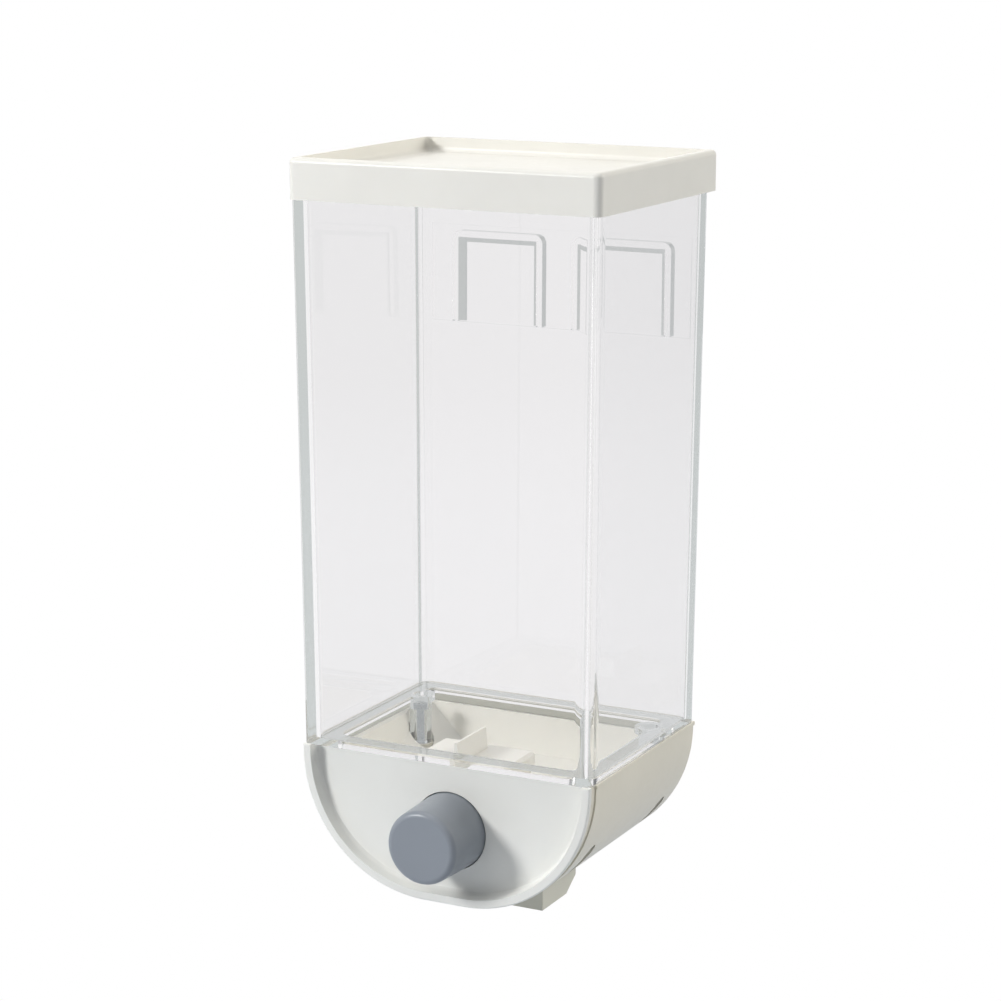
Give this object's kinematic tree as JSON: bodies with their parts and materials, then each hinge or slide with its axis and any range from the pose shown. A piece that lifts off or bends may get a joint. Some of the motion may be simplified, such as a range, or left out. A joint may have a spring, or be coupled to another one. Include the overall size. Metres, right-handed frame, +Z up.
{
  "type": "wall-hung cereal dispenser",
  "caption": "Wall-hung dry food dispenser: clear tank with a lift-off tray lid on a D-shaped base whose push button slides a sprung gate above the spout.",
  "frame": {"origin": "under the centre of the whole outline, at the height of the spout's mouth", "axes": "+Z up, front with the button towards -Y, wall side towards +Y, +X to the right seen from the front"},
  "size_m": [0.1066, 0.1026, 0.2422],
  "materials": {
    "ivory": "satin moulded ABS",
    "cover_ivory": "satin moulded ABS",
    "housing_ivory": "satin moulded ABS",
    "spout_ivory": "satin moulded ABS",
    "beige": "satin moulded ABS",
    "clear": "polished clear polystyrene",
    "button_grey": "fine satin grey ABS",
    "mech_grey": "plain acetal",
    "silicone": "soft white silicone",
    "black_rubber": "matt black rubber",
    "steel": "zinc-plated steel"
  },
  "bodies": {
    "base": {"base_housing": "housing_ivory", "front_cover": "cover_ivory", "tank": "clear", "hopper": "beige", "stop_ring": "black_rubber", "outlet_seal": "silicone", "gate_tray": "mech_grey", "guide_pins": "steel", "pin_clips": "steel", "return_springs": "steel", "outlet_chute": "spout_ivory", "tank_screws": "steel", "tray_screws": "steel"},
    "button": {"button_cap": "button_grey", "button_screw": "steel", "plunger": "mech_grey", "gate_plate": "mech_grey", "gate_screws": "steel"},
    "lid": {"lid": "ivory", "lid_seal": "silicone"}
  },
  "joints": [
    {"name": "button_press", "type": "slide", "parent": "base", "child": "button", "axis": [0, 1, 0], "range_m": [0, 0.015], "stiffness_N_per_m": 250, "springref_m": -0.01, "deforming": ["return_springs"]},
    {"name": "lid_lift", "type": "slide", "parent": "base", "child": "lid", "axis": [0, 0, 1], "range_m": [0, 0.06]}
  ]
}
